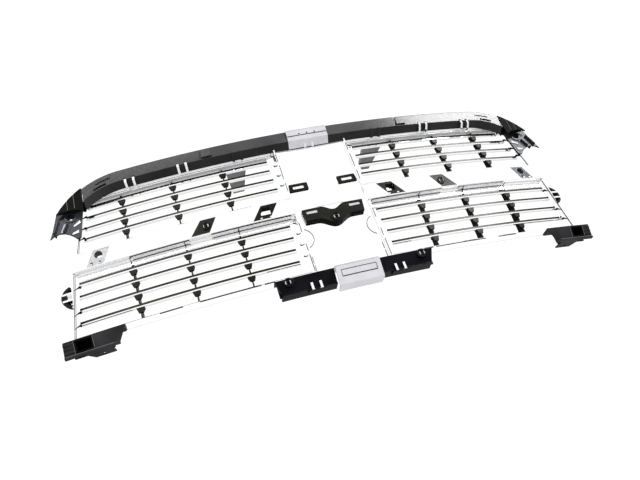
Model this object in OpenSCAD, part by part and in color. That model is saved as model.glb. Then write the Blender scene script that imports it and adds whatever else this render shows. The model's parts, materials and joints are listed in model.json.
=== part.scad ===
// Chromed louvre grille insert for a pickup truck, as an assembly of separate mouldings.
// Millimetres. +X to the viewer's right, -Y to the front, +Z up.
// The origin is on the flat emblem seat of the centre column.

/* [Overall shape] */
// Plan radius of the whole front, seen from above
plan_r = 2350; // [2200:10:2600]
// Distance from the emblem seat back to the louvre noses
nose_setback = 5; // [4:0.5:7]
// How far the louvres lean back at the lean height
lean_depth = 21.6; // [16:0.2:24]
// Height at which the louvres lean back by the lean depth
lean_height = 210; // [200:5:240]

/* [Louvres] */
// Vertical distance from one louvre to the next
blade_pitch = 26.2; // [25:0.1:27]
// Height of the dark lip over the top louvre of the upper panels
upper_first_z = 132; // [128:0.1:134]
// Height of the dark lip over the top louvre of the lower panels
lower_first_z = -42.2; // [-44:0.1:-42]
// Height of the chromed louvre face
blade_face = 4.4; // [3.5:0.1:7]
// Front to back size of a louvre
blade_depth = 5; // [4:0.5:8]
// Height of the dark lip
lip_h = 4.6; // [2:0.1:5]

/* [Posts] */
// Distance from the middle to the first louvre post
first_post_x = 193; // [185:1:198]
// Distance from one louvre post to the next
post_pitch = 106; // [100:1:108]
// Thickness of a post
post_t = 2.4; // [1.8:0.2:3]
// Width of a louvre cup at its top
cup_top_w = 15.5; // [12:0.5:17]
// Width of a louvre cup at its bottom
cup_bottom_w = 9; // [6:0.5:11]
// Height of a louvre cup
cup_h = 9.8; // [8:0.1:13]

/* [Cross band and column] */
// Half width of the centre column
column_half = 77; // [74:0.5:80]
// Top edge of the cross band
band_top = 12; // [11:0.5:13]
// Bottom edge of the cross band
band_bottom = -24.6; // [-25:0.1:-24]
// How far the cross band stands in front of the louvre noses
band_out = 13.2; // [11:0.2:14]

/* [Top rail] */
// Top edge of the rail
rail_top = 176.5; // [174:0.5:180]
// Height of the fold between the rail's face and its soffit
rail_fold = 151; // [149:0.5:153]
// How far the rail's fold stands in front of the louvre noses
rail_out = 21; // [18:0.5:24]
// Where the straight rail turns down into its corners
corner_x = 395; // [385:1:400]
// Outline radius of the rail's corners
corner_r = 159.5; // [155:0.5:165]

/* [Lower strip] */
// Top edge of the lower strip and the corner brackets
strip_top = -166; // [-168:0.5:-165]
// Bottom edge of the lower strip
strip_bottom = -196; // [-200:0.5:-192]
// Outer end of the lower strip
strip_end = 160; // [150:1:170]

/* [Fixings] */
// Radius of the bracket and ear fixing holes
fixing_r = 3.5; // [3:0.1:4.5]
// Radius of the pilot holes for self-tapping screws
pilot_r = 2.1; // [1.8:0.1:2.4]

/* [Hidden] */
wall = 2.8;
rib_t = 2.4;
fine = 96;
arc_steps = 720;
blade_count = 4;
post_count = 3;
chrome = "gainsboro";
black = "#202024";
satin = "lavender";
plan_cy = nose_setback + plan_r;
corner_z = rail_top - corner_r;
upper_panel_out = 503;
upper_panel_lean = 11.6;
lower_panel_out = 513;
lower_panel_lean = 5.3;
blade_start = column_half + 16;
post_back = 16;
post_front = 5.5;
nose_cut = 0.8;
lip_depth = 4.2;
seat_h = 0.8;
ear_x = 505;
ear_z = 101.5;
ear_out = 12.8;
band_slot_low = -24;
strip_clip_x = [75, 92];
strip_boss_x = 134;
strip_boss_z = -174;
surround_boss_x = 252.3;
surround_boss_z = -5.6;
bracket_hole_x = 478;
bracket_hole_d = 1;
rail_hole_inner_x = 110;
rail_hole_outer_x = 330;
screw_hole_r = 2;
rail_screw_x = [94, 188, 235, 329];
rail_screw_z = 149.6;
strip_screw_x = 100;
bracket_screw_x = [463, 478];
flange_screw_z = -180;

// Left and right are as seen from the front, looking at the grille.

// ---- Geometry helpers ----

// How far the louvre surface leans back at a height
function lean(z) = lean_depth * pow(z / lean_height, 2);

// Angle of a place on the plan arc
function plan_angle(x) = asin(x / plan_r);

// Height of the lip over louvre i of an upper or lower panel
function lip_z(upper, i) = (upper ? upper_first_z : lower_first_z) - i * blade_pitch;

// Outer edge of a panel at a height
function panel_out(upper, z) = upper
    ? upper_panel_out - (z - band_top) * tan(upper_panel_lean)
    : lower_panel_out + (band_bottom - z) * tan(lower_panel_lean);

// Place of post i from the middle
function post_x(i) = first_post_x + i * post_pitch;

// Sweeps a section of [depth, height] points along the front's plan arc.
// Depth 0 is the louvre nose surface, and it grows to the back.
module arc_bar(x0, x1, points) {
    start = plan_angle(x0);
    translate([0, plan_cy, 0])
        rotate([0, 0, start - 90])
            rotate_extrude(angle = plan_angle(x1) - start, $fn = arc_steps)
                polygon([for (p = points) [plan_r - p[0], p[1]]]);
}

// A local frame on the plan arc: x along it, y is the depth and z is up
module on_arc(x) {
    a = plan_angle(x);
    translate([plan_r * sin(a), plan_cy - plan_r * cos(a), 0])
        rotate([0, 0, a])
            children();
}

// A plate of [depth, height] points, its thickness centred on x = 0
module side_plate(t, points) {
    translate([-t / 2, 0, 0])
        rotate([90, 0, 90])
            linear_extrude(t)
                polygon(points);
}

// A front view outline of [x, height] points, from one depth to another
module front_plate(d0, d1, points) {
    translate([0, d1, 0])
        rotate([90, 0, 0])
            linear_extrude(d1 - d0)
                polygon(points);
}

// A box between two corners
module box(low, high) {
    translate(low)
        cube(high - low);
}

// A cylinder along the depth
module round_bar(r, x, z, d0, d1) {
    translate([x, d0, z])
        rotate([-90, 0, 0])
            cylinder(r = r, h = d1 - d0, $fn = fine);
}

// The left half of the grille mirrors the right half
module left_half() {
    mirror([1, 0, 0])
        children();
}

// ---- Louvre panels ----

// One louvre: a hollow chromed bar with a flat nose
module blade(upper, i) {
    zl = lip_z(upper, i) - lip_h / 2;
    b = lean(lip_z(upper, i));
    zb = zl - blade_face;
    skin = 1.4;
    color(chrome)
        arc_bar(blade_start, panel_out(upper, zl) - 2 * wall, [
            [b + nose_cut, zl], [b, zl - nose_cut], [b, zb + 1.2], [b + 1.2, zb],
            [b + blade_depth, zb], [b + blade_depth, zb + skin], [b + wall, zb + skin],
            [b + wall, zl - skin], [b + blade_depth, zl - skin], [b + blade_depth, zl]]);
}

// Dark lips that sit on the louvres, one strip over each
module lips(upper) {
    color(black)
        for (i = [0 : blade_count - 1]) {
            z = lip_z(upper, i);
            b = lean(z);
            arc_bar(blade_start, panel_out(upper, z) - 2 * wall, [
                [b + nose_cut, z - lip_h / 2], [b + nose_cut, z + lip_h / 2 - 0.5],
                [b + nose_cut + 0.5, z + lip_h / 2], [b + lip_depth, z + lip_h / 2],
                [b + lip_depth, z - lip_h / 2]]);
        }
}

// A tapered cup under a louvre, with the thin neck that reaches the next lip
module cup(z, neck_end) {
    b = lean(z);
    top = z - lip_h / 2 - blade_face;
    bottom = top - cup_h;
    back = max(b, lean(neck_end)) + post_front + 1;
    intersection() {
        front_plate(b - 0.5, back, [
            [-cup_top_w / 2, top], [cup_top_w / 2, top],
            [cup_bottom_w / 2, bottom], [-cup_bottom_w / 2, bottom]]);
        side_plate(cup_top_w + 2, [[b - 2, top + 1], [back - 0.2, top + 1], [back - 0.4, top],
            [b + lip_depth, bottom], [b + lip_depth, bottom - 1], [b - 2, bottom - 1]]);
    }
    box([-post_t / 2, b + nose_cut, neck_end], [post_t / 2, back, bottom + 0.1]);
}

// One post: a spine behind the louvres, the cups and the necks
module post(upper) {
    first = lip_z(upper, 0);
    last = lip_z(upper, blade_count - 1);
    top_z = first + (upper ? 5.4 : 4.1);
    bottom_z = last - (upper ? 31.2 : 28.3);
    steps = 6;
    heights = [for (i = [0 : steps]) top_z + (bottom_z - top_z) * i / steps];
    side_plate(post_t, concat(
        [for (z = heights) [lean(z) + post_front - 0.4, z]],
        [for (i = [0 : steps]) [lean(heights[steps - i]) + post_back, heights[steps - i]]]));
    box([-post_t / 2, lean(first) + nose_cut, first + lip_h / 2],
        [post_t / 2, lean(first) + post_front, top_z]);
    for (i = [0 : blade_count - 1]) {
        z = lip_z(upper, i);
        next = i < blade_count - 1 ? z - blade_pitch + lip_h / 2 : bottom_z;
        cup(z, next);
    }
}

module posts(upper) {
    color(black)
        for (i = [0 : post_count - 1])
            on_arc(post_x(i))
                post(upper);
}

// Inner side of a panel frame: a bevelled wall beside the centre column
module frame_inner_side(z0, z1) {
    x = column_half;
    translate([0, nose_setback + 1.6, z0])
        linear_extrude(z1 - z0)
            polygon([[x, 3.4], [x, -14.7], [x + wall, -14.7], [x + 4.4, 0.6], [x + 19, 4.6],
                [x + 19, post_back], [x + 16, post_back], [x + 16, 7], [x + 4, 3.4]]);
}

// Outer side of a panel frame: a leaning channel that closes the louvre ends
module frame_outer_side(x, lean_a, z0, z1, back) {
    on_arc(x)
        translate([0, 0, z0])
            rotate([0, -lean_a, 0])
                linear_extrude((z1 - z0) / cos(lean_a))
                    polygon([[0, -5], [0, back], [-wall, back], [-wall, -1], [-wall - 3, 2.2],
                        [-2 * wall - 3.5, 2.2], [-2 * wall - 3.5, -0.8], [-wall - 1, -5]]);
}

module upper_frame() {
    color(chrome)
        difference() {
            upper_frame_body();
            for (x = rail_screw_x)
                on_arc(x)
                    round_bar(screw_hole_r, 0, rail_screw_z, -wall - 2, 1);
        }
}

module upper_frame_body() {
    // sill over the cross band
    arc_bar(column_half, panel_out(true, band_top), [
        [-band_out, band_top], [-band_out, band_top + 2.5], [2 - band_out, band_top + 4.5],
        [9, band_top + 10], [post_back, band_top + 10], [post_back, band_top + 7.2],
        [9, band_top + 7.2], [wall - band_out, band_top + 1.6], [wall - band_out, band_top]]);
    // head under the rail
    arc_bar(column_half, panel_out(true, rail_fold) + 3, [
        [-3.6, 143.2], [0, 138.5], [0.8, 137.6], [19, 137.6], [19, 153], [16.2, 153],
        [16.2, 140.4], [1.5, 140.4], [-0.8, 144], [-0.8, 153], [-3.6, 153]]);
    frame_inner_side(band_top, 141);
    frame_outer_side(upper_panel_out, upper_panel_lean, band_top, 140, 19);
}

module lower_frame() {
    color(chrome)
        difference() {
            lower_frame_body();
            for (x = concat([strip_screw_x], bracket_screw_x))
                on_arc(x)
                    round_bar(screw_hole_r, 0, flange_screw_z, -6, 1);
        }
}

module lower_frame_body() {
    bottom = -168.5;
    tab_bottom = -187;
    // head under the cross band
    arc_bar(column_half, panel_out(false, band_bottom), [
        [1, band_bottom - 2.6], [1, -37.6], [post_back, -37.6], [post_back, -34.8],
        [1 + wall, -34.8], [1 + wall, band_bottom - 2.6]]);
    // sill that slopes forwards to its lower edge
    arc_bar(column_half, panel_out(false, bottom), [
        [26, -149.4], [26, -152.2], [wall, -154.6], [-1.6, bottom], [-4.4, bottom],
        [-0.6, -154], [0.6, -152.4], [14, -149.4]]);
    // tabs behind the lower strip and behind the corner bracket
    for (x = [[86, 121], [457, 512]])
        arc_bar(x[0], x[1], [[-4.2, bottom + 0.4], [-4.2, tab_bottom], [-1.8, tab_bottom],
            [-1.8, bottom + 0.4]]);
    frame_inner_side(-165, band_bottom - 2.6);
    frame_outer_side(panel_out(false, bottom), lower_panel_lean, bottom, band_bottom, 24);
    inner_clip_ear();
}

// Round ear on the inner side of a lower frame, for a snap clip of the surround
module inner_clip_ear() {
    ear_r = 18;
    z = -81;
    y = nose_setback + 4.6;
    difference() {
        translate([column_half + 1, y, z])
            rotate([-90, 0, 0])
                cylinder(r = ear_r, h = wall, $fn = fine);
        box([column_half + 1, y - 1, z - 30], [column_half + 30, y + wall + 1, z + 30]);
        translate([column_half - 8, y - 1, z])
            rotate([-90, 0, 0])
                cylinder(r = 4, h = wall + 2, $fn = fine);
    }
}

// ---- Top rail ----

// Outer and inner path of the rail's channel section
rail_section = [
    [-3.6, 153.2], [-3.6, 156], [-19.4, 156], [-21.6, rail_top - wall], [-8, rail_top - wall],
    [-8, rail_top], [-22, rail_top], [-24, rail_top - 3], [-rail_out, rail_fold],
    [-6.3, 142.5], [-3.7, 142.5], [-3.7, 145.4], [-6, 145.4], [3 - rail_out, 153.2]];

// One bent end of the rail, up to the upright seam of the corner cap
module rail_corner() {
    seam = 77;
    on_arc(corner_x)
        intersection() {
            translate([0, 0, corner_z])
                rotate([-90, 0, 0])
                    rotate([0, 0, -90])
                        rotate_extrude(angle = 42, $fn = arc_steps)
                            polygon([for (p = rail_section) [p[1] - corner_z, p[0]]]);
            box([-1, -40, 60], [seam, 30, 200]);
        }
}

module upper_rail() {
    rib_pitch = 47;
    clip_gap_x = [146, 163];
    color(black)
        difference() {
            union() {
                arc_bar(-corner_x, corner_x, rail_section);
                rail_corner();
                left_half() rail_corner();
                // stiffening ribs in the channel, open to the back
                for (i = [-8 : 7])
                    on_arc((i + 0.5) * rib_pitch)
                        side_plate(2, [[-21, rail_top - 3], [-9, rail_top - 2], [-5, 156.5],
                            [-5, 155], [-20, 155]]);
                // end walls where the corners turn down
                for (side = [-1, 1])
                    on_arc(side * corner_x)
                        side_plate(3, [[-21.8, rail_top - 1], [-9, rail_top - 1], [-5, 155],
                            [-5, 154], [-19.5, 154]]);
                // pairs of small hooks on the soffit
                for (x = clip_gap_x)
                    for (side = [-1, 1])
                        on_arc(side * x)
                            side_plate(4.4, [[-22.4, 156], [-22.4, 150.6], [-7, 139.4],
                                [-4.2, 139.4], [-4.2, 144], [-19, 153]]);
                // bosses in the channel for the screws from the panel frames
                for (x = rail_screw_x)
                    for (side = [-1, 1])
                        on_arc(side * x)
                            round_bar(4.4, 0, rail_screw_z, -11, -3.9);
                // raised locating pads on the face
                for (side = [-1, 1])
                    on_arc(side * 216)
                        front_plate(-25.2, -22.5, [[-11, rail_fold + 3], [11, rail_fold + 3],
                            [9, rail_top - 5], [-9, rail_top - 5]]);
            }
            // slots that the chromed snap clips pass through
            for (x = [260, 277, 367, 384])
                for (side = [-1, 1])
                    on_arc(side * x)
                        box([-2.8, -30, 130], [2.8, -4.6, rail_fold + 3.4]);
            for (x = [-8.4, 8.4])
                on_arc(x)
                    box([-2.8, -19, 130], [2.8, -4.6, rail_fold + 3.4]);
            for (x = rail_screw_x)
                for (side = [-1, 1])
                    on_arc(side * x)
                        round_bar(screw_hole_r, 0, rail_screw_z, -10, -3);
            // fixing holes through the top flange
            for (x = [-rail_hole_outer_x, -rail_hole_inner_x, rail_hole_inner_x, rail_hole_outer_x])
                translate([x, rail_hole_y(x), rail_top - 2 * wall])
                    cylinder(r = fixing_r, h = 4 * wall, $fn = fine);
        }
}

// Middle of the rail's top flange at a place across the grille
function rail_hole_y(x) = plan_cy - sqrt(pow(plan_r + 14.5, 2) - x * x);

// Light centre section that clips over the rail
module rail_centre_pad() {
    half = 43.7;
    color(satin)
        difference() {
            arc_bar(-half, half, [
                [-6.3, 142.4], [-6.3, 140.9], [-22.2, 150.2], [-23.8, 160.6], [-25.4, 161.4],
                [-26.2, rail_top - 3.4], [-23.4, rail_top + 1.5], [-10, rail_top + 1.5],
                [-10, rail_top + 0.05], [-22, rail_top + 0.05], [-24.05, rail_top - 3],
                [-rail_out - 0.05, rail_fold]]);
            for (x = [-17, 0, 17])
                on_arc(x)
                    round_bar(1.7, 0, 163.5, -30, -24.6);
        }
}

// Rounded corner cap between the rail and the ear
module rail_cap() {
    bottom = 119;
    inner = 77.8;
    skirt = [[inner + 0.2, 121], [inner + 0.2, 100.5], [86, 104.6], [96, 108], [107, 110],
        [120, 109.6], [134, 106.4], [149, 101], [149, 121]];
    on_arc(corner_x)
        color(black)
            difference() {
                intersection() {
                    translate([0, 0, corner_z])
                        round_bar(corner_r + 0.8, 0, 0, -25, -2);
                    union() {
                        box([inner, -30, bottom], [150, 0, 190]);
                        // thin skirt that arches over the ear
                        front_plate(-29, -22.2, skirt);
                    }
                }
                // hollow from behind
                intersection() {
                    translate([0, 0, corner_z])
                        round_bar(corner_r - 2.2, 0, 0, -22, 1);
                    box([inner + 2.4, -22, bottom + 2.4], [150, 1, 190]);
                }
                // two shallow grooves down the face
                for (x = [inner + 16, inner + 30])
                    box([x, -26, 95], [x + 1.6, -24.2, 190]);
            }
}

// Bracket below the cap, with the fixing boss and its slats
module ear_bracket() {
    y = ear_y();
    color(black)
        difference() {
            union() {
                front_plate(y - 1, y + 2, [[479, 118.5], [530, 118.5], [541, 76], [547, 59], [539, 65],
                    [529, 68.5], [519, 67.5], [511, 63.5], [503, 57], [497, 50], [489, 53]]);
                round_bar(11.5, ear_x, ear_z, y - 3, y + 8);
                // slats that slope with the outer edge
                for (slat = [[510.4, 88, 519], [526.6, 98, 537]])
                    front_plate(y - 7, y, [[slat[0], slat[1]], [slat[0] + rib_t, slat[1]],
                        [slat[2] + rib_t, 69.5], [slat[2], 69.5]]);
                box([479.2, y - 5, 115.8], [527, y + 1, 118.3]);
                // outer flange that turns back round the wing
                front_plate(y, y + 22, [[529.8, 118.4], [540.8, 76], [538.2, 75.4], [527.2, 117.8]]);
            }
            round_bar(fixing_r, ear_x, ear_z, y - 12, y + 12);
            round_bar(7.5, ear_x, ear_z, y - 12, y + 2);
        }
}

// Depth of the ear plate, square to the car's length
function ear_y() = plan_cy - sqrt(plan_r * plan_r - ear_x * ear_x) - ear_out;

// Chromed snap clips: each is a base with two upright tongues through the rail
module rail_snap_clips() {
    color(chrome) {
        on_arc(0)
            rail_clip(-17, 0);
        for (side = [-1, 1]) {
            on_arc(side * 268.5)
                rail_clip(-22.6, 2);
            on_arc(side * 375.5)
                rail_clip(-22.6, 6);
        }
    }
}

// One clip: how far its tongues reach to the front, and how far they hang down
module rail_clip(out, drop) {
    for (side = [-1, 1])
        translate([side * 8.4, 0, 0])
            side_plate(4.7, [[-3.7, 143.2], [-5.6, 139.4 - drop], [out + 9, 140.2 - drop],
                [out, 148 - drop], [out, rail_fold + 2.6 - drop / 2],
                [out + 2.6, rail_fold + 2.6 - drop / 2], [-7.2, 146], [-3.7, 146]]);
    box([-10.7, -4.6, 145.6], [10.7, -3.7, 152.8]);
}

// Chromed snap clips of the cross band and of the lower strip
module panel_snap_clips() {
    color(chrome)
        for (side = [0, 1])
            mirror([side, 0, 0]) {
                band_clip(133.5, [-8, 11]);
                band_clip(460, [-1, 15]);
                strip_clip();
            }
}

// Two tongues on a bar behind a pocket plate of the cross band
module band_clip(x, places) {
    tongue = 4.2;
    on_arc(x) {
        for (place = places)
            translate([place, 0, 0])
                side_plate(tongue, [[-15.6, -21.2], [-15.6, -19], [-13.2, -15.8], [-7.6, -15.8],
                    [-7.6, -21.2]]);
        box([places[0] - tongue / 2 + 0.2, -9.6, -19.2], [places[1] + tongue / 2 - 0.2, -7.8, -16]);
    }
}

// Two upright tongues on a plate under the ledge of the lower strip, with pegs through it
module strip_clip() {
    z = strip_bottom;
    for (x = strip_clip_x)
        on_arc(x)
            side_plate(4.6, [[-18.5, z - 2.4], [1, z - 2.4], [1, z + 4.6], [-1.6, z + 4.6],
                [-1.6, z - 0.1], [-15.5, z - 0.1], [-15.5, z + 2.2], [-16.8, z + 12.5],
                [-18.8, z + 12.5]]);
    on_arc((strip_clip_x[0] + strip_clip_x[1]) / 2)
        box([-9, -16.2, z - 2.2], [9, -8, z - 0.3]);
}

// ---- Centre column ----

slot_x = 52.6;
slot_z = 40.5;

module centre_column() {
    top = 146;
    bottom = -165;
    color(chrome)
        difference() {
            union() {
                box([-column_half + 0.1, seat_h, bottom], [column_half - 0.1, 3, top]);
                // raised seat that the emblem rests on
                box([-28, 0, -14], [28, 2, 30]);
                for (x = [-70, 70 - rib_t])
                    box([x, 3, bottom], [x + rib_t, 14, top]);
                for (z = [-150, -95, 70, 125])
                    box([-70, 3, z], [70, 11, z + rib_t]);
                // raised frame of the emblem seat
                difference() {
                    box([-58, 3, -70], [58, 9, 66]);
                    box([-55.6, 2, -67.6], [55.6, 10, 63.6]);
                }
            }
            for (side = [-1, 1]) {
                box([side * slot_x - 12, -1, slot_z - 4], [side * slot_x + 12, 15, slot_z + 4]);
                box([side * 45 - 11.5, -1, -32.7], [side * 45 + 11.5, 15, -26.3]);
            }
            round_bar(6, 0, -50.5, -1, 15);
        }
}

// Dark bezel round a slot of the column
module slot_bezel() {
    z = slot_z;
    color(black)
        translate([slot_x, seat_h, 0])
            difference() {
                front_plate(-2.2, 0, [[-20.5, z - 7.6], [-18.6, z - 9.2], [20, z - 9.2], [20.6, z - 7],
                    [19, z + 8], [17.4, z + 9.2], [-19.2, z + 9.2], [-20.5, z + 7.6]]);
                box([-11.5, -3, z - 3.7], [11.5, 1, z + 3.7]);
            }
}

// Top and bottom outline of the wavy emblem retainer
function retainer_top(x) = -20 - (abs(x) < 26 ? 5.8 * (1 + cos(180 * x / 26)) : 0) - abs(x) * 0.02;
function retainer_bottom(x) = -48 - (abs(x) < 36 ? 7.6 * (1 + cos(180 * x / 36)) : 0);

function retainer_outline(inset) = concat(
    [for (x = [-64 + inset : (64 - inset) / 16 : 64.01 - inset]) [x, retainer_top(x) - inset]],
    [for (x = [61 - inset : -(61 - inset) / 16 : -61.01 + inset]) [x, retainer_bottom(x) + inset]]);

module emblem_retainer() {
    boss_z = -50.5;
    color(black)
        translate([0, seat_h, 0])
            difference() {
                union() {
                    difference() {
                        front_plate(-9, 0, retainer_outline(0));
                        front_plate(-6.6, 1, retainer_outline(2.4));
                    }
                    round_bar(10, 0, boss_z, -11, 0);
                    for (a = [0 : 90 : 270])
                        translate([0, 0, boss_z])
                            rotate([0, a + 45, 0])
                                box([8, -7, -1], [15, 0, 1]);
                }
                round_bar(3, 0, boss_z, -12, 1);
                round_bar(7.4, 0, boss_z, -12, -9.4);
                for (side = [-1, 1])
                    box([side * 45 - 11.5, -10, -32.7], [side * 45 + 11.5, 1, -26.3]);
            }
}

// ---- Cross band ----

// Corners of a pocket: top and bottom edges shift apart because its sides lean outwards
function pocket(x_top, x_low, w_top, w_low, z_top, z_low) =
    [[x_top, z_top], [x_top + w_top, z_top], [x_low + w_low, z_low], [x_low, z_low]];

inner_pocket = pocket(105.8, 126.8, 33.8, 35.2, 10.4, -21.6);
middle_pocket = pocket(229.3, 247.9, 31.4, 36.6, 10.4, -21.6);
outer_pocket = pocket(437, 452, 32, 33, 10.4, -21.6);

// Shifts pocket corners into the local frame at x
function local(points, x) = [for (p = points) [p[0] - x, p[1]]];

module cross_bar() {
    color(chrome)
        difference() {
            union() {
                arc_bar(column_half, panel_out(false, band_bottom), [
                    [-band_out, band_top], [-band_out, band_bottom + 1], [1 - band_out, band_bottom],
                    [post_back, band_bottom], [post_back, band_bottom + wall],
                    [wall - band_out, band_bottom + wall], [wall - band_out, band_top - wall],
                    [8, band_top - wall], [8, band_top]]);
                // stiffening ribs behind the band
                for (x = [92, 190, 215, 310, 350, 390, 422, 500])
                    on_arc(x)
                        side_plate(2, [[2 - band_out, band_bottom + 2], [post_back - 1, band_bottom + 2],
                            [5, band_top - 2], [2 - band_out, band_top - 2]]);
            }
            for (p = [inner_pocket, middle_pocket, outer_pocket])
                on_arc((p[0][0] + p[3][0]) / 2)
                    front_plate(-band_out - 2, wall - band_out + 0.4, local(p, (p[0][0] + p[3][0]) / 2));
        }
}

// Black plate that closes a pocket, with its window or its boss
module pocket_plate(points) {
    x = (points[0][0] + points[3][0]) / 2;
    color(black)
        difference() {
            on_arc(x)
                difference() {
                    front_plate(-band_out + 0.6, 6, local(points, x));
                    translate([0, wall, 0])
                        front_plate(-band_out + 0.6, 6, inset_pocket(local(points, x), 2));
                }
            children();
        }
}

// Pocket corners moved inwards by a wall
function inset_pocket(p, t) = [[p[0][0] + 1.3 * t, p[0][1] - t], [p[1][0] - t, p[1][1] - t],
    [p[2][0] - 1.3 * t, p[2][1] + t], [p[3][0] + t, p[3][1] + t]];

// Inner pocket: a rectangular window over two slots for the surround's snap tongues
module inner_pocket_plate() {
    pocket_plate(inner_pocket)
        on_arc(133.5) {
            box([-10, -20, -12.2], [10, 20, 4.8]);
            for (x = [-8, 11])
                box([x - 2.3, -20, band_slot_low], [x + 2.3, 20, -15.4]);
        }
}

// Middle pocket: a boss for a surround screw
module middle_pocket_plate() {
    y = surround_boss_y();
    color(black)
        difference() {
            union() {
                pocket_plate(middle_pocket);
                round_bar(8.6, surround_boss_x, surround_boss_z, y, y + 17);
            }
            round_bar(pilot_r, surround_boss_x, surround_boss_z, y - 1, y + 18);
            round_bar(6.2, surround_boss_x, surround_boss_z, y - 1, y + 1.4);
        }
}

// Front of the surround boss
function surround_boss_y() = plan_cy - sqrt(plan_r * plan_r - pow(surround_boss_x, 2)) - band_out - 1.4;

// Outer pocket: a round window over two slots
module outer_pocket_plate() {
    pocket_plate(outer_pocket)
        on_arc(460) {
            round_bar(8, 0, -0.5, -20, 20);
            for (x = [-1, 15])
                box([x - 2.3, -20, band_slot_low], [x + 2.3, 20, -14]);
        }
}

// ---- Lower strip and brackets ----

// One black half of the lower strip, its end sloping inwards to the bottom
module lower_strip() {
    y = strip_boss_y();
    in_x = 43.8;
    color(black)
        difference() {
            union() {
                intersection() {
                    arc_bar(in_x, strip_end, [
                        [-21.6, strip_top], [-13.4, strip_bottom + 4], [-15.4, strip_bottom + 2],
                        [-15.4, strip_bottom], [8, strip_bottom], [8, strip_bottom + wall],
                        [wall - 13, strip_bottom + wall], [-18.6, strip_top - wall],
                        [-4.5, strip_top - wall], [-4.5, strip_top]]);
                    front_plate(-60, 60, [[in_x, strip_top + 1], [strip_end, strip_top + 1],
                        [strip_end - 10, strip_bottom - 1], [in_x, strip_bottom - 1]]);
                }
                round_bar(9.4, strip_boss_x, strip_boss_z, y, y + 17);
                // upright web that lies on the frame's tab
                arc_bar(in_x, strip_end - 5, [[-7.2, strip_top - 1], [-7.2, strip_bottom + 1],
                    [-4.5, strip_bottom + 1], [-4.5, strip_top - 1]]);
                on_arc(strip_screw_x)
                    round_bar(4.4, 0, flange_screw_z, -12, -6);
                for (x = [60, 106, 118])
                    on_arc(x)
                        side_plate(2, [[-19.6, strip_top - 1], [-6, strip_top - 1],
                            [-6, strip_bottom + 2], [-11.6, strip_bottom + 2]]);
            }
            // slots in the ledge for the pegs of the snap clip
            for (x = strip_clip_x)
                on_arc(x)
                    box([-2.5, -1.8, strip_bottom - 1], [2.5, 1.2, strip_bottom + 2 * wall]);
            on_arc(strip_screw_x)
                round_bar(screw_hole_r, 0, flange_screw_z, -11, -3);
            round_bar(pilot_r, strip_boss_x, strip_boss_z, y - 1, y + 21);
            round_bar(6.6, strip_boss_x, strip_boss_z, y - 1, y + 1.6);
        }
}

// Front of the lower strip's boss
function strip_boss_y() = plan_cy - sqrt(plan_r * plan_r - pow(strip_boss_x, 2)) - 22.6;

// Light centre section of the lower strip
module lower_centre_pad() {
    half = 43.7;
    color(satin)
        difference() {
            arc_bar(-half, half, [
                [-33, strip_top - 5], [-26, strip_bottom - 10], [-23, strip_bottom - 12],
                [-2, strip_bottom - 12], [-2, strip_bottom - 9], [-22, strip_bottom - 9],
                [-29.6, strip_top - 6], [-27.6, strip_top - 2.6], [-4.5, strip_top - 2.6],
                [-4.5, strip_top], [-29, strip_top]]);
            // recessed outline of the blank badge field
            for (z = [strip_top - 12.6, strip_top - 25])
                arc_bar(-35, 35, [[-36, z + 0.8], [-36, z - 0.8], [-24, z - 0.8], [-24, z + 0.8]]);
        }
}

// Corner bracket under the outer end of a lower panel
module lower_bracket() {
    ledge = -197.4;
    color(black)
        difference() {
            union() {
                intersection() {
                    arc_bar(424, 541, [
                        [-29.5, strip_top - 2], [-22, -193], [-24, -194.4], [-24, ledge],
                        [-16, ledge], [-16, -194.4], [-19.2, -194.4], [-26.4, -171.2],
                        [-4.5, -171.2], [-4.5, strip_top - 2]]);
                    front_plate(-60, 140, [[428, -160], [545, -160], [545, -200], [446, -200],
                        [446, -194.4]]);
                }
                // upright web that lies on the frame's tab
                arc_bar(456, 528, [[-7.2, -195], [-7.2, strip_top - 3], [-4.5, strip_top - 3], [-4.5, -195]]);
                for (x = bracket_screw_x)
                    on_arc(x)
                        round_bar(4.4, 0, flange_screw_z, -12, -6);
                // fixing tab behind the ledge
                on_arc(bracket_hole_x)
                    translate([0, 0, ledge + 0.2])
                        linear_extrude(2.6)
                            polygon([[-20, -19], [32, -19], [18, 8], [-20, 8]]);
                // three ribs on the outer wing
                for (z = [-175, -182, -189])
                    arc_bar(521, 539, [[wing_d(z) - 1.2, z], [wing_d(z) - 1.2, z + 2],
                        [wing_d(z) + 1, z + 2], [wing_d(z) + 1, z]]);
            }
            // window for the pocket box
            arc_bar(block_x[0], block_x[1], [[-40, block_z[1]], [-40, block_z[0]], [-8.5, block_z[0]],
                [-8.5, block_z[1]]]);
            for (x = bracket_screw_x)
                on_arc(x)
                    round_bar(screw_hole_r, 0, flange_screw_z, -11, -3);
            translate([bracket_hole_x, bracket_hole_y(), -200])
                cylinder(r = fixing_r, h = 12, $fn = fine);
        }
}

// Window of the bracket, across and up
block_x = [487, 519];
block_z = [-192.6, -169.8];

// Depth of the bracket's sloping face at a height
function wing_d(z) = -29.5 + (strip_top - 2 - z) * 7.5 / 25;

// Place of the bracket's fixing hole, front to back
function bracket_hole_y() = plan_cy - sqrt(plan_r * plan_r - pow(bracket_hole_x, 2)) + bracket_hole_d;

// Square pocket box, open to the front, set in the bracket's window
module bracket_block() {
    gap = 0.1;
    side = 2.6;
    low = block_z[0] + gap;
    high = block_z[1] - gap;
    back = -9;
    color(black)
        difference() {
            arc_bar(block_x[0] + gap, block_x[1] - gap, [[wing_d(high) - 1, high], [wing_d(low) - 1, low],
                [back, low], [back, high]]);
            arc_bar(block_x[0] + side, block_x[1] - side, [[-60, high - side], [-60, low + side],
                [back - side, low + side], [back - side, high - side]]);
        }
}

// ---- Side clips and rear brackets ----

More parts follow.
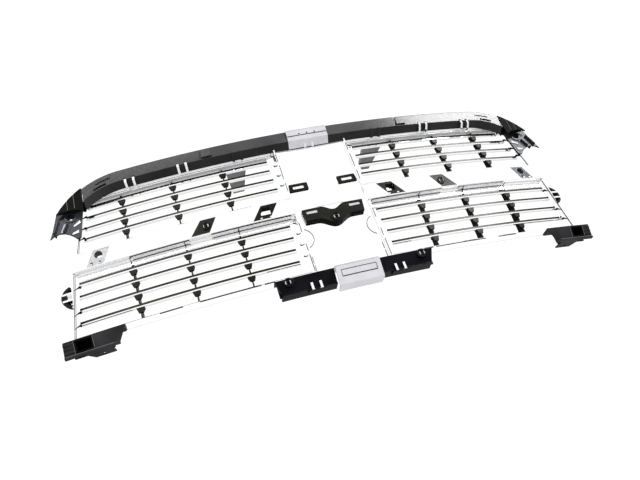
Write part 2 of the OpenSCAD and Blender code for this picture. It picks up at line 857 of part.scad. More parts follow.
// Round clip ear on the outer side of a lower panel
module side_clip() {
    z = -66;
    ear_r = 23;
    color(chrome)
        on_arc(panel_out(false, z) + 1.2) {
            difference() {
                union() {
                    round_bar(ear_r, 2, z, 7, 10);
                    difference() {
                        round_bar(ear_r, 2, z, -1, 10);
                        round_bar(ear_r - 2.6, 2, z, -2, 11);
                    }
                }
                box([-40, -10, z - 40], [2, 20, z + 40]);
                round_bar(4, 13, z, 0, 20);
            }
            for (dz = [-9, 5])
                box([2, -4, z + dz], [22, 7.2, z + dz + 4]);
            box([0.4, -4, z - 20], [3, 20, z + 20]);
        }
}

// Tapered arm that reaches back from the frame's head, behind the inner post of an upper panel
module rear_bracket() {
    x = 161.5;
    front = 19;
    back = 122;
    base = 150;
    color("dimgray")
        on_arc(x) {
            translate([0, 0, base])
                linear_extrude(wall)
                    polygon([[-25, front], [25, front], [11.5, back], [-14.5, back]]);
            // flange that lies over the frame's head
            box([-25, 16.2, 153.1], [25, 24, 156]);
            box([-25, front, base + 0.2], [25, 24, 156]);
            // upright webs along both edges and across the end
            for (web = [[-25, -14.5], [25 - rib_t, 11.5 - rib_t]])
                translate([0, 0, base + 0.3])
                    linear_extrude(9)
                        polygon([[web[0], front + 1], [web[0] + rib_t, front + 1],
                            [web[1] + rib_t, back - 1], [web[1], back - 1]]);
            box([-14, back - 1 - rib_t, base + 0.3], [11, back - 1, base + 9.3]);
            for (y = [50, 85])
                box([-16, y, base + 0.3], [13, y + rib_t, base + 7]);
        }
}

// ---- Fasteners ----

// A self-tapping screw driven forwards from the back
module screw() {
    head_r = 4.4;
    head_h = 2.8;
    shank_r = screw_hole_r - 0.05;
    shank = 8;
    rotate([90, 0, 0]) {
        difference() {
            translate([0, 0, -head_h])
                cylinder(r = head_r, h = head_h, $fn = fine);
            for (a = [0, 90])
                rotate([0, 0, a])
                    translate([-2.6, -0.5, -head_h - 0.1])
                        cube([5.2, 1, 1.6]);
        }
        translate([0, 0, -0.1])
            cylinder(r = shank_r, h = shank, $fn = fine);
    }
}

// Screws through the frames into the rail, the strip and the brackets, heads to the back
module panel_screws() {
    color("silver")
        for (side = [-1, 1]) {
            for (x = rail_screw_x)
                on_arc(side * x)
                    translate([0, -0.75, rail_screw_z])
                        screw();
            for (x = concat([strip_screw_x], bracket_screw_x))
                on_arc(side * x)
                    translate([0, -1.75, flange_screw_z])
                        screw();
        }
}

// ---- Assembly ----

blade(true, 0);  // upper_right_blade_1
blade(true, 1);  // upper_right_blade_2
blade(true, 2);  // upper_right_blade_3
blade(true, 3);  // upper_right_blade_4
left_half() blade(true, 0);  // upper_left_blade_1
left_half() blade(true, 1);  // upper_left_blade_2
left_half() blade(true, 2);  // upper_left_blade_3
left_half() blade(true, 3);  // upper_left_blade_4
blade(false, 0);  // lower_right_blade_1
blade(false, 1);  // lower_right_blade_2
blade(false, 2);  // lower_right_blade_3
blade(false, 3);  // lower_right_blade_4
left_half() blade(false, 0);  // lower_left_blade_1
left_half() blade(false, 1);  // lower_left_blade_2
left_half() blade(false, 2);  // lower_left_blade_3
left_half() blade(false, 3);  // lower_left_blade_4
lips(true);  // upper_right_lips
left_half() lips(true);  // upper_left_lips
lips(false);  // lower_right_lips
left_half() lips(false);  // lower_left_lips
posts(true);  // upper_right_posts
left_half() posts(true);  // upper_left_posts
posts(false);  // lower_right_posts
left_half() posts(false);  // lower_left_posts
upper_frame();  // upper_right_frame
left_half() upper_frame();  // upper_left_frame
lower_frame();  // lower_right_frame
left_half() lower_frame();  // lower_left_frame
upper_rail();
rail_centre_pad();
rail_cap();  // rail_right_cap
left_half() rail_cap();  // rail_left_cap
ear_bracket();  // right_ear_bracket
left_half() ear_bracket();  // left_ear_bracket
rail_snap_clips();
panel_snap_clips();
centre_column();
emblem_retainer();
slot_bezel();  // right_slot_bezel
left_half() slot_bezel();  // left_slot_bezel
cross_bar();  // right_cross_bar
left_half() cross_bar();  // left_cross_bar
inner_pocket_plate();  // right_inner_pocket
left_half() inner_pocket_plate();  // left_inner_pocket
middle_pocket_plate();  // right_middle_pocket
left_half() middle_pocket_plate();  // left_middle_pocket
outer_pocket_plate();  // right_outer_pocket
left_half() outer_pocket_plate();  // left_outer_pocket
lower_strip();  // right_lower_strip
left_half() lower_strip();  // left_lower_strip
lower_centre_pad();
lower_bracket();  // right_lower_bracket
left_half() lower_bracket();  // left_lower_bracket
bracket_block();  // right_bracket_block
left_half() bracket_block();  // left_bracket_block
side_clip();  // right_side_clip
left_half() side_clip();  // left_side_clip
rear_bracket();  // right_rear_bracket
left_half() rear_bracket();  // left_rear_bracket
panel_screws();
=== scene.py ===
"""Looks of the front grille insert: materials, surface details, studio and camera."""

import json
import math

import bmesh
import bpy
from mathutils import Matrix, Vector


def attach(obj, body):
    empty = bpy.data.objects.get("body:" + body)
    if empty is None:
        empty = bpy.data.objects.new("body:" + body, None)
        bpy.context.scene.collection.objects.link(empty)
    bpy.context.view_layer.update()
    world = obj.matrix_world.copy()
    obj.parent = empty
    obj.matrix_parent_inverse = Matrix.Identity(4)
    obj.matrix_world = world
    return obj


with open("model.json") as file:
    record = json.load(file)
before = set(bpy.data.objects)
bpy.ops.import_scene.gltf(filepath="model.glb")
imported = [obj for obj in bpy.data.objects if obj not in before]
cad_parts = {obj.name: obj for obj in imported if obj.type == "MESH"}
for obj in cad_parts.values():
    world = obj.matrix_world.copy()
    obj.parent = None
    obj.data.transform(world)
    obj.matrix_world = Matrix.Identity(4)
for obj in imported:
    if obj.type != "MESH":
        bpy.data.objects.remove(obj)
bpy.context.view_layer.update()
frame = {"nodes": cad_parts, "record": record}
nodes = frame["nodes"]
slot_of = {part["node"]: part["material_slot"] for part in frame["record"]["subparts"]}

MM = 0.001
LEFT_AND_RIGHT = (-1, 1)

# Driving dimensions in millimetres, the same as in the part's source.
# The louvre noses lie on an arc in plan. Depth 0 is on that arc, and depth grows to the back.
PLAN_R = 2350
NOSE_SETBACK = 5
BLADE_PITCH = 26.2
BLADE_COUNT = 4
UPPER_FIRST_Z = 132
LOWER_FIRST_Z = -42.2
POSTS_X = (193, 299, 405)
COLUMN_HALF = 77
BAND_BOTTOM = -24.6
CORNER_X = 395
CORNER_Z = 17
EAR_X = 505
SURROUND_BOSS = (252.3, -5.6)
STRIP_BOSS = (134, -174)
EMBLEM_BOSS_Z = -50.5


# ---- Materials ----

class Shader:
    """Builds one node material with a Principled shader at its end."""

    def __init__(self, name, **inputs):
        self.material = bpy.data.materials.new(name)
        self.material.use_nodes = True
        self.tree = self.material.node_tree
        self.tree.nodes.clear()
        out = self.add("ShaderNodeOutputMaterial")
        self.bsdf = self.add("ShaderNodeBsdfPrincipled")
        self.link(self.bsdf.outputs["BSDF"], out.inputs["Surface"])
        self.coords = self.add("ShaderNodeTexCoord")
        for key, value in inputs.items():
            self.bsdf.inputs[key.replace("_", " ")].default_value = value

    def add(self, kind):
        return self.tree.nodes.new(kind)

    def link(self, source, target):
        self.tree.links.new(source, target)

    def noise(self, scale, detail, roughness=0.55):
        node = self.add("ShaderNodeTexNoise")
        node.inputs["Scale"].default_value = scale
        node.inputs["Detail"].default_value = detail
        node.inputs["Roughness"].default_value = roughness
        self.link(self.coords.outputs["Object"], node.inputs["Vector"])
        return node.outputs["Fac"]

    def remap(self, source, low, high, to_low, to_high):
        node = self.add("ShaderNodeMapRange")
        node.inputs["From Min"].default_value = low
        node.inputs["From Max"].default_value = high
        node.inputs["To Min"].default_value = to_low
        node.inputs["To Max"].default_value = to_high
        self.link(source, node.inputs["Value"])
        return node.outputs["Result"]

    def tone(self, source, low, high, dark, light):
        """A color that goes from dark at low to light at high."""
        node = self.add("ShaderNodeValToRGB")
        for stop, place, color in zip(node.color_ramp.elements, (low, high), (dark, light)):
            stop.position = place
            stop.color = (*color, 1)
        self.link(source, node.inputs["Fac"])
        return node.outputs["Color"]

    def finish(self, color, roughness, height, bump, edge_radius):
        """Joins the color, the roughness, the bump and the rounded edges to the shader."""
        self.link(color, self.bsdf.inputs["Base Color"])
        self.link(roughness, self.bsdf.inputs["Roughness"])
        bevel = self.add("ShaderNodeBevel")
        bevel.samples = 4
        bevel.inputs["Radius"].default_value = edge_radius
        relief = self.add("ShaderNodeBump")
        relief.inputs["Strength"].default_value = bump
        relief.inputs["Distance"].default_value = MM
        self.link(height, relief.inputs["Height"])
        self.link(bevel.outputs["Normal"], relief.inputs["Normal"])
        self.link(relief.outputs["Normal"], self.bsdf.inputs["Normal"])
        return self.material


def chrome():
    s = Shader("chrome", Metallic=1.0)
    color = s.tone(s.noise(9, 4), 0.3, 0.7, (0.93, 0.94, 0.95), (0.97, 0.97, 0.965))
    rough = s.remap(s.noise(140, 5, 0.7), 0.35, 0.75, 0.03, 0.10)
    return s.finish(color, rough, s.noise(22, 2), 0.10, 0.6 * MM)


def moulded_black(name, dark, light, mirror, smooth, dull):
    """Moulded plastic: cloudy tone, fine scuffs in the gloss and a faint orange peel."""
    s = Shader(name, Specular_IOR_Level=mirror)
    color = s.tone(s.noise(14, 3), 0.35, 0.68, dark, light)
    rough = s.remap(s.noise(180, 5, 0.7), 0.3, 0.75, smooth, dull)
    return s.finish(color, rough, s.noise(420, 2), 0.05, 0.6 * MM)


def satin(name, metallic, dark, light):
    s = Shader(name, Metallic=metallic)
    color = s.tone(s.noise(30, 3), 0.3, 0.7, dark, light)
    rough = s.remap(s.noise(700, 3), 0.3, 0.7, 0.30, 0.42)
    return s.finish(color, rough, s.noise(1200, 2), 0.05, 0.6 * MM)


def grained_grey():
    s = Shader("grained_grey")
    color = s.tone(s.noise(25, 4), 0.3, 0.7, (0.13, 0.13, 0.135), (0.19, 0.19, 0.195))
    rough = s.remap(s.noise(500, 4), 0.3, 0.7, 0.42, 0.62)
    return s.finish(color, rough, s.noise(900, 3), 0.2, 0.5 * MM)


def zinc():
    s = Shader("zinc", Metallic=1.0)
    color = s.tone(s.noise(160, 4), 0.3, 0.7, (0.42, 0.42, 0.40), (0.62, 0.61, 0.58))
    rough = s.remap(s.noise(600, 4), 0.3, 0.7, 0.22, 0.42)
    return s.finish(color, rough, s.noise(900, 3), 0.2, 0.2 * MM)


OLIVE = moulded_black("olive_black", dark=(0.005, 0.0055, 0.0022), light=(0.010, 0.011, 0.0048),
                      mirror=0.03, smooth=0.15, dull=0.3)
DEEP = moulded_black("deep_black", dark=(0.002, 0.002, 0.0018), light=(0.004, 0.004, 0.0036),
                     mirror=0.002, smooth=0.15, dull=0.3)
EAR_BLACK = moulded_black("ear_black", dark=(0.008, 0.009, 0.011), light=(0.018, 0.020, 0.024),
                          mirror=0.02, smooth=0.12, dull=0.26)
POCKET_BLACK = moulded_black("pocket_black", dark=(0.012, 0.014, 0.017), light=(0.026, 0.028, 0.032),
                             mirror=0.2, smooth=0.12, dull=0.26)
RAIL_BLACK = moulded_black("rail_black", dark=(0.020, 0.020, 0.021), light=(0.030, 0.030, 0.031),
                           mirror=0.06, smooth=0.12, dull=0.26)
BRACKET_BLACK = moulded_black("bracket_black", dark=(0.012, 0.012, 0.013), light=(0.030, 0.030, 0.032),
                              mirror=0.025, smooth=0.14, dull=0.3)
GLOSS_BLACK = moulded_black("gloss_black", dark=(0.0016, 0.0016, 0.0026), light=(0.0034, 0.0034, 0.0046),
                            mirror=0.05, smooth=0.1, dull=0.26)
INNER_BLACK = moulded_black("inner_black", dark=(0.004, 0.004, 0.0032), light=(0.007, 0.007, 0.006),
                            mirror=0.015, smooth=0.2, dull=0.4)
CHROME = chrome()
SATIN_SILVER = satin("satin_silver", 0.25, (0.72, 0.72, 0.76), (0.80, 0.80, 0.83))
SATIN_CHROME = satin("satin_chrome", 0.4, (0.90, 0.90, 0.92), (0.95, 0.95, 0.96))
GREY = grained_grey()
ZINC = zinc()

SLOT_MATERIALS = {
    "chrome": CHROME,
    "black_plastic": GLOSS_BLACK,
    "black_inner_plastic": INNER_BLACK,
    "satin_plastic": SATIN_SILVER,
    "grey_plastic": GREY,
    "screw_steel": ZINC,
}

# Nodes with a black of their own, by the end of their name
OWN_BLACKS = (
    ("_lips", OLIVE),
    ("_cap", DEEP),
    ("_block", DEEP),
    ("_lower_bracket", BRACKET_BLACK),
    ("upper_rail", RAIL_BLACK),
    ("_ear_bracket", EAR_BLACK),
    ("_outer_pocket", POCKET_BLACK),
)

# The lamps light the dark plastics and the satin facings. These show the white room instead.
UNLIT = (CHROME, SATIN_SILVER, GREY, ZINC)
lit_pieces = bpy.data.collections.new("lit_pieces")
side_lit_pieces = bpy.data.collections.new("side_lit_pieces")


def finish_of(name):
    """The material of a CAD node."""
    for ending, material in OWN_BLACKS:
        if name.endswith(ending):
            return material
    return SLOT_MATERIALS[slot_of[name]]


def light_up(obj, material):
    """Puts a piece in reach of the lamps. The side lamp leaves out the lower brackets."""
    if material in UNLIT:
        return
    lit_pieces.objects.link(obj)
    if material != BRACKET_BLACK:
        side_lit_pieces.objects.link(obj)


for name, node in nodes.items():
    node.data.materials.clear()
    node.data.materials.append(finish_of(name))
    light_up(node, finish_of(name))


# ---- Shape helpers for the small details ----

def on_arc(x, across, depth, up):
    """A place in metres, from millimetres in the local frame at x on the plan arc."""
    angle = math.asin(x / PLAN_R)
    base = Vector((PLAN_R * math.sin(angle), NOSE_SETBACK + PLAN_R * (1 - math.cos(angle)), 0))
    side = Vector((math.cos(angle), math.sin(angle), 0))
    back = Vector((-math.sin(angle), math.cos(angle), 0))
    return (base + side * across + back * depth + Vector((0, 0, up))) * MM


class Piece:
    """One detail piece, gathered from closed rings of points."""

    SWEEP_STEP = 12

    def __init__(self, name, material):
        self.name = name
        self.material = material
        self.shape = bmesh.new()

    def tube(self, rings):
        made = [[self.shape.verts.new(place) for place in ring] for ring in rings]
        for one, two in zip(made, made[1:]):
            for i, corner in enumerate(one):
                j = (i + 1) % len(one)
                self.shape.faces.new((corner, one[j], two[j], two[i]))
        self.shape.faces.new(made[0])
        self.shape.faces.new(made[-1])

    def sweep(self, x0, x1, section):
        """A section of (depth, height) points along the plan arc."""
        steps = max(2, int(abs(x1 - x0) / self.SWEEP_STEP))
        stations = [x0 + (x1 - x0) * i / steps for i in range(steps + 1)]
        self.tube([[on_arc(x, 0, depth, z) for depth, z in section] for x in stations])

    def side_plate(self, x, half, points):
        """A side view of (depth, height) points, with half its thickness to each side of x."""
        self.tube([[on_arc(x, across, depth, z) for depth, z in points] for across in (-half, half)])

    def front_plate(self, x, front, back, points):
        """A front view of (across, height) points at x on the arc, from one depth to another."""
        self.tube([[on_arc(x, across, depth, z) for across, z in points] for depth in (front, back)])

    def flat_plate(self, front, back, points):
        """A front view of (x, height) points, square to the front, from one y to another."""
        self.tube([[Vector((x, y, z)) * MM for x, z in points] for y in (front, back)])

    def done(self):
        bmesh.ops.recalc_face_normals(self.shape, faces=self.shape.faces)
        mesh = bpy.data.meshes.new(self.name)
        self.shape.to_mesh(mesh)
        self.shape.free()
        mesh.materials.append(self.material)
        obj = bpy.data.objects.new(self.name, mesh)
        bpy.context.scene.collection.objects.link(obj)
        light_up(obj, self.material)
        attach(obj, "root")


def rectangle(a0, a1, z0, z1):
    return [(a0, z0), (a1, z0), (a1, z1), (a0, z1)]


def ring_part(inner, outer, start, sweep, z, across=0, steps=8):
    """Part of a ring in the front view. Its angles are in radians, clockwise from the top."""
    turns = [start + sweep * i / steps for i in range(steps + 1)]
    outside = [(across + outer * math.sin(a), z + outer * math.cos(a)) for a in turns]
    inside = [(across + inner * math.sin(a), z + inner * math.cos(a)) for a in reversed(turns)]
    return outside + inside


def on_side(side, points):
    """Front view points drawn for the right half, mirrored for the left."""
    return [(side * across, z) for across, z in points]


# ---- Cross band and panel frames ----

def band_edge():
    """Dark edge strip under the cross band, the skin behind it and its necks to the first louvre."""
    edge = Piece("band_edge_strip", OLIVE)
    skin = Piece("band_underskin", SATIN_CHROME)
    line = Piece("band_shadow_line", INNER_BLACK)
    necks = Piece("band_necks", INNER_BLACK)
    stretches = ((86, 246), (289, 401))
    strip_back = -11.4
    strip = rectangle(strip_back - 0.8, strip_back, BAND_BOTTOM - 2.4, BAND_BOTTOM - 0.05)
    underskin = rectangle(strip_back + 0.1, 0.9, BAND_BOTTOM - 2.5, BAND_BOTTOM - 2.1)
    neck_top = BAND_BOTTOM - 2.6
    neck_foot = LOWER_FIRST_Z + 2.2
    neck = [(-0.2, neck_foot), (0.6, neck_foot), (0.6, neck_top), (strip_back, neck_top),
            (strip_back, neck_top - 0.6), (-0.2, neck_top - 1.4)]
    for side in LEFT_AND_RIGHT:
        for start, end in stretches:
            edge.sweep(side * start, side * end, strip)
            skin.sweep(side * start, side * end, underskin)
            line.sweep(side * start, side * end, rectangle(-0.1, 0.6, neck_top - 0.9, neck_top))
        for x in POSTS_X:
            necks.side_plate(side * x, 0.6, neck)
    for piece in (edge, skin, line, necks):
        piece.done()


def head_lines(painted_lines, facings, side):
    """Painted dark lines along an upper panel's head, for the shade and dark reflections at its edges, and
    bright facings inside both panels' heads.
    """
    start = side * (COLUMN_HALF + 7)
    end = side * 480
    edge_z = 138.5
    bevel_facing = [(-3.16, edge_z + 3.55), (-2.92, edge_z + 3.73),
                    (-0.04, edge_z - 0.03), (-0.28, edge_z - 0.21)]
    bevel_dark_line = [(-4.2, edge_z + 4.1), (-3.7, edge_z + 4.1), (0.2, edge_z + 0.7), (-0.6, edge_z + 0.2)]
    painted_lines.sweep(start, side * 440, rectangle(-0.9, 0.1, edge_z, edge_z + 0.55))
    facings.sweep(side * (COLUMN_HALF + 5), end, bevel_facing)
    facings.sweep(start, end, rectangle(1.0, 18.8, edge_z - 1.4, edge_z - 1.0))
    facings.sweep(start, side * 505, rectangle(0.65, 0.95, -37.4, -28.3))
    painted_lines.side_plate(start, 0.6, bevel_dark_line)


def sill_lines(painted_lines, side):
    """Broken painted dark line along the sill of a lower panel, for the shade and dark reflection at its
    edge.
    """
    sill_z = -155.8
    for start, end in ((154, 174), (180, 296), (328, 371)):
        painted_lines.sweep(side * start, side * end, rectangle(-1.8, -0.9, sill_z, sill_z + 1.1))


def outer_side_lines(painted_lines, ticks, side, x, foot, lean, low, high, tick_heights):
    """Two painted dark lines for the shade and dark reflections along a panel's outer side, and the louvre
    end ticks of that side, which leans in above its foot.
    """
    def inward(z):
        return -(z - foot) * math.tan(math.radians(lean))

    for far, near in ((-0.9, 0.1), (-3.4, -2.8)):
        dark_line = [(inward(z) + across, z) for across, z in rectangle(far, near, low, high)]
        painted_lines.front_plate(side * x, -5.5, -4.8, on_side(side, dark_line))
    tick_outline = ((-0.8, -5.2), (-0.8, -3.6), (-12, 2.4), (-12, 1.4))
    for z in tick_heights:
        tick = [(inward(z) + across, z + up) for across, up in tick_outline]
        ticks.front_plate(side * x, -5.3, 2.4, on_side(side, tick))


def frame_lines():
    """The thin dark and bright lines of the four panel frames. The dark ones are painted shade and dark
    reflections along the edges.
    """
    # Dark strips that paint the shade and dark reflections along the frames' edges.
    painted_lines = Piece("frame_painted_dark_lines", OLIVE)
    facings = Piece("head_facings", SATIN_CHROME)
    ticks = Piece("louvre_end_ticks", INNER_BLACK)
    for side in LEFT_AND_RIGHT:
        head_lines(painted_lines, facings, side)
        sill_lines(painted_lines, side)
        outer_side_lines(painted_lines, ticks, side, x=526.35, foot=-168.5, lean=5.3, low=-166, high=-26,
                         tick_heights=(-53, -105.6, -131.8))
        outer_side_lines(painted_lines, ticks, side, x=503, foot=12, lean=11.6, low=14, high=112,
                         tick_heights=(52, 74, 100))
    for piece in (painted_lines, facings, ticks):
        piece.done()


def boss_highlight_arcs():
    """Bright metal arcs in the bosses of the cross band, the lower strip and the retainer, shaped as
    painted highlights in the bosses' counterbores.
    """
    highlight_arcs = Piece("boss_highlight_arcs", ZINC)
    places = [(side * x, z, front) for (x, z), front in ((SURROUND_BOSS, -15.2), (STRIP_BOSS, -23.2))
              for side in LEFT_AND_RIGHT]
    places.append((0, EMBLEM_BOSS_Z, -15))
    first_turn = 0.85
    # Two bright arcs per boss: painted highlights.
    for x, z, front in places:
        for start in (first_turn, first_turn + math.pi):
            highlight_arcs.front_plate(x, front, front + 1.4, ring_part(3.8, 5.8, start, 1.4, z))
    highlight_arcs.done()


# ---- Retainer, lower strip, light pads and column ----

def retainer_slot_covers():
    """Light backing in the two slots of the emblem retainer."""
    covers = Piece("retainer_slot_covers", SATIN_SILVER)
    slot_x = 45
    for side in LEFT_AND_RIGHT:
        covers.front_plate(side * slot_x, -12.6, -11.8, rectangle(-11.3, 11.3, -32.5, -26.5))
    covers.done()


def strip_clip_soles():
    """Dark soles under the snap clips of the lower strip."""
    soles = Piece("strip_clip_soles", GLOSS_BLACK)
    sole_low = -199.3
    for side in LEFT_AND_RIGHT:
        soles.sweep(side * 66, side * 101, rectangle(-17.4, 1, sole_low, sole_low + 0.8))
        soles.sweep(side * 78.4, side * 88.6, rectangle(-17.9, -16.4, sole_low, sole_low + 3.7))
    soles.done()


def pad_marks_and_shade():
    """Three dots and a seam on the rail's light pad, and dark strips in the outlined slots of a field on
    the lower one, which paint the shade inside those slots.
    """
    marks_and_shade = Piece("pad_marks_and_shade", INNER_BLACK)
    dot_z = 163.5
    for x in (-17, 0, 17):
        marks_and_shade.front_plate(x, -25.9, -24.4, ring_part(0.1, 1.6, 0, 6.2, dot_z, steps=12))
    marks_and_shade.sweep(-43, 43, rectangle(-24.9, -24.0, 160.2, 160.9))
    # Painted shade: dark strips inside the lower pad's outline slots.
    for z in (-178.6, -191):
        marks_and_shade.sweep(-34.8, 34.8, rectangle(-29.6, -28.8, z - 0.7, z + 0.7))
    for x in (-34.4, 34.4):
        marks_and_shade.side_plate(x, 0.4, [(-31.9, -179.2), (-31.2, -179.2), (-28.9, -190.5), (-29.6, -190.5)])
    marks_and_shade.done()


def column_rims():
    """Round rims beside the column, the broken seams along it and short marks at the louvre ends."""
    rims = Piece("column_rims", OLIVE)
    sheet = (0.2, 0.75)
    wall_edge = (-8.7, -8.15)
    clip_arc = ring_part(22.9, 24, math.radians(205), math.radians(130), -82, across=80, steps=16)
    wall_spans = ((-160, -122), (-114, -98), (-70, -48), (30, 52), (62, 98), (108, 128))
    foot_spans = ((-160, -143), (-139, -124))
    mark_in = COLUMN_HALF + 4.9
    mark_out = COLUMN_HALF + 9
    louvre_ends = [first - BLADE_PITCH * i
                   for first in (LOWER_FIRST_Z, UPPER_FIRST_Z) for i in range(BLADE_COUNT)]
    for side in LEFT_AND_RIGHT:
        rims.flat_plate(*sheet, on_side(side, clip_arc))
        for low, high in wall_spans:
            dark_line = rectangle(COLUMN_HALF, COLUMN_HALF + 1.3, low, high)
            rims.flat_plate(*wall_edge, on_side(side, dark_line))
        for low, high in foot_spans:
            dark_line = rectangle(COLUMN_HALF - 5, COLUMN_HALF - 4, low, high)
            rims.flat_plate(*sheet, on_side(side, dark_line))
        for z in louvre_ends:
            mark = [(mark_in, z + 3), (mark_out, z + 5), (mark_out, z + 6.2), (mark_in, z + 4.2)]
            rims.flat_plate(5.9, 7.2, on_side(side, mark))
    rims.done()


# ---- Rail corners, side clips, lower brackets and ears ----

def rail_corner_slots():
    """Two short curved slots in each corner of the rail, round the corner's centre."""
    slots = Piece("rail_corner_slots", DEEP)
    slot_width = 2.6
    for side in LEFT_AND_RIGHT:
        for radius, start, sweep in ((137, 0.2, 0.2), (146, 0.12, 0.22)):
            slot = ring_part(radius, radius + slot_width, start, sweep, CORNER_Z)
            slots.front_plate(side * CORNER_X, -23.1, -21.4, on_side(side, slot))
    slots.done()


def cap_seam_highlights():
    """A bright strip along the seam between the rail and each cap, narrower at its foot: a painted
    highlight.
    """
    painted_lines = Piece("cap_seam_highlights", SATIN_SILVER)
    outline = [(76.8, 124), (77.6, 124), (77.6, 152), (75.2, 152)]
    for side in LEFT_AND_RIGHT:
        painted_lines.front_plate(side * CORNER_X, -22.6, -21.2, on_side(side, outline))
    painted_lines.done()


def cap_streaks():
    """Two light upright streaks on each cap."""
    streaks = Piece("cap_streaks", GREY)
    low = 112
    width = 1.2
    for side in LEFT_AND_RIGHT:
        for near, high in ((94, 146.2), (108, 134.8)):
            streak = [(near, low), (near + width, low), (near + width, high - 1), (near, high)]
            streaks.front_plate(side * CORNER_X, -24.8, -24.3, on_side(side, streak))
    streaks.done()


def side_clip_pads():
    """Dark pads round the outer half of the side clips."""
    pads = Piece("side_clip_pads", INNER_BLACK)
    clip_x, clip_z = 518, -66
    pad = ring_part(17.5, 23.3, 0.2, 2.74, clip_z, across=2, steps=16)
    for side in LEFT_AND_RIGHT:
        pads.front_plate(side * clip_x, -1.6, 6.8, on_side(side, pad))
    pads.done()


def bracket_edge_highlights():
    """Light strips on the lower brackets' edges, along the ledge and beside the pocket box: painted
    highlights.
    """
    edge_highlights = Piece("bracket_edge_highlights", GREY)
    box_x, box_half = 503, 16.8
    box_edge = [(-29.95, -168.6), (-29.5, -168.6), (-22.3, -192.6), (-22.75, -192.6)]
    for side in LEFT_AND_RIGHT:
        edge_highlights.sweep(side * 452, side * 536, rectangle(-24.5, -24.05, -195.2, -194.2))
        for x in (box_x - box_half, box_x + box_half):
            edge_highlights.side_plate(side * x, 0.45, box_edge)
    edge_highlights.done()


def ear_details():
    """Light strips between the slats of the ears, painted reflections on the glossy plate, and bright
    prongs over their inner edge.
    """
    reflection_strips = Piece("ear_painted_reflections", GREY)
    bright_reflection_strips = Piece("ear_bright_painted_reflections", SATIN_SILVER)
    prongs = Piece("ear_prongs", CHROME)
    face_y = NOSE_SETBACK + PLAN_R - math.sqrt(PLAN_R ** 2 - EAR_X ** 2) - 13.8
    high, low = 89, 70
    reflection_rows = ((bright_reflection_strips, 513.8, 521.6, 4.4), (reflection_strips, 530.4, 539.6, 1.6), (reflection_strips, 504, 511.4, 2.4))
    prong_outlines = ([(486, 86), (500, 78), (501, 81), (488, 92)],
                      [(492, 63), (505, 60.5), (504, 64.5), (492, 70)])
    for side in LEFT_AND_RIGHT:
        for piece, high_x, low_x, width in reflection_rows:
            reflection_strip = [(high_x, high), (high_x + width, high), (low_x + width, low), (low_x, low)]
            piece.flat_plate(face_y - 0.8, face_y - 0.1, on_side(side, reflection_strip))
        for outline in prong_outlines:
            prongs.flat_plate(face_y - 1.4, face_y - 0.2, on_side(side, outline))
    for piece in (reflection_strips, bright_reflection_strips, prongs):
        piece.done()


band_edge()
frame_lines()
boss_highlight_arcs()
retainer_slot_covers()
strip_clip_soles()
pad_marks_and_shade()
rail_corner_slots()
cap_seam_highlights()
cap_streaks()
side_clip_pads()
column_rims()
bracket_edge_highlights()
ear_details()


# ---- Studio ----

WHITE = (1, 1, 1, 1)
OVERHEAD_GREY = (0.25, 0.25, 0.27, 1)
WORLD_STRENGTH = 1.1
FLOOR_Z = -0.74
FLOOR_REACH = 14.0
FLOOR_CORNERS = 48


def studio_world():
    """White light from all round, with a grey zone overhead that draws the chrome's edges."""
    world = bpy.data.worlds.new("studio")
    bpy.context.scene.world = world
    world.use_nodes = True
    tree = world.node_tree
    tree.nodes.clear()
    out = tree.nodes.new("ShaderNodeOutputWorld")
    back = tree.nodes.new("ShaderNodeBackground")
    back.inputs["Strength"].default_value = WORLD_STRENGTH
    coords = tree.nodes.new("ShaderNodeTexCoord")
    split = tree.nodes.new("ShaderNodeSeparateXYZ")
    ramp = tree.nodes.new("ShaderNodeValToRGB")
    shift = tree.nodes.new("ShaderNodeMapRange")
    shift.inputs["From Min"].default_value = -1
    tree.links.new(coords.outputs["Generated"], split.inputs["Vector"])
    tree.links.new(split.outputs["Z"], shift.inputs["Value"])
    tree.links.new(shift.outputs["Result"], ramp.inputs["Fac"])
    tree.links.new(ramp.outputs["Color"], back.inputs["Color"])
    tree.links.new(back.outputs["Background"], out.inputs["Surface"])
    stops = ramp.color_ramp.elements
    stops[0].position = 0.0
    stops[0].color = WHITE
    stops[1].position = 0.93
    stops[1].color = WHITE
    overhead = stops.new(0.975)
    overhead.color = OVERHEAD_GREY


def pale_floor():
    s = Shader("pale_floor")
    color = s.tone(s.noise(3, 3), 0.3, 0.7, (0.86, 0.86, 0.86), (0.9, 0.9, 0.9))
    rough = s.remap(s.noise(30, 3), 0.3, 0.7, 0.55, 0.7)
    return s.finish(color, rough, s.noise(200, 2), 0.05, 0.1 * MM)


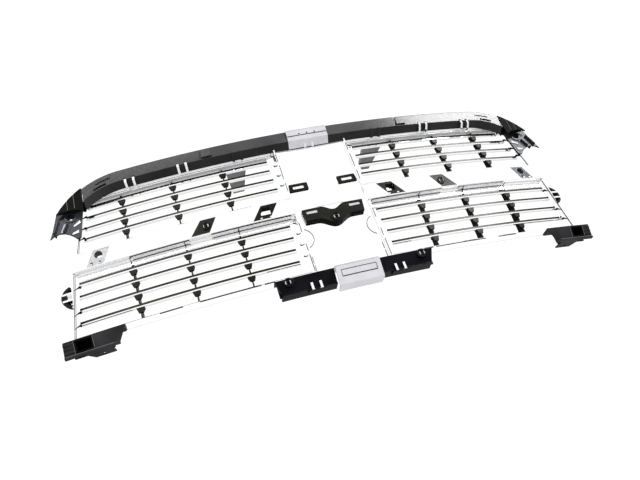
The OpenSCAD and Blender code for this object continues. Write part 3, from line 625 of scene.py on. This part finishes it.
def floor():
    """A pale floor, wide enough to meet the horizon."""
    mesh = bpy.data.meshes.new("floor")
    disc = bmesh.new()
    turns = [2 * math.pi * i / FLOOR_CORNERS for i in range(FLOOR_CORNERS)]
    rim = [(FLOOR_REACH * math.cos(a), FLOOR_REACH * math.sin(a), FLOOR_Z) for a in turns]
    disc.faces.new([disc.verts.new(place) for place in rim])
    disc.to_mesh(mesh)
    disc.free()
    mesh.materials.append(pale_floor())
    obj = bpy.data.objects.new("floor", mesh)
    bpy.context.scene.collection.objects.link(obj)


def soft_light(name, place, aim, size, power, receivers):
    """A round lamp that lights only the pieces in receivers."""
    data = bpy.data.lights.new(name, "AREA")
    data.shape = "DISK"
    data.size = size
    data.energy = power
    obj = bpy.data.objects.new(name, data)
    obj.location = place
    obj.rotation_mode = "QUATERNION"
    obj.rotation_quaternion = (Vector(aim) - Vector(place)).to_track_quat("-Z", "Y")
    bpy.context.scene.collection.objects.link(obj)
    obj.light_linking.receiver_collection = receivers


studio_world()
floor()
soft_light("key", place=(-0.86, -2.4, 1.8), aim=(0, 0, 0), size=0.8, power=60, receivers=lit_pieces)
soft_light("side", place=(1.85, -1.6, 1.3), aim=(0.2, 0, 0), size=1.0, power=260, receivers=side_lit_pieces)
soft_light("left", place=(-1.5, -1.9, 1.4), aim=(-0.3, 0, 0), size=0.7, power=50, receivers=lit_pieces)
bpy.context.scene.view_settings.view_transform = "Standard"


# ---- Camera ----

def camera():
    """Looks up at the grille from below, a little from its left, which matches the photo."""
    data = bpy.data.cameras.new("camera")
    data.lens = 36.09
    data.sensor_width = 36
    place = Vector((-0.3453, -1.0564, -0.6997))
    right = Vector((0.9505, -0.0995, -0.2943))
    up = Vector((0.1996, -0.5306, 0.8238))
    back = Vector((-0.2381, -0.8418, -0.4845))
    turn = Matrix((right, up, back)).transposed()
    obj = bpy.data.objects.new("camera", data)
    obj.matrix_world = Matrix.Translation(place) @ turn.to_4x4()
    bpy.context.scene.collection.objects.link(obj)
    bpy.context.scene.camera = obj


camera()
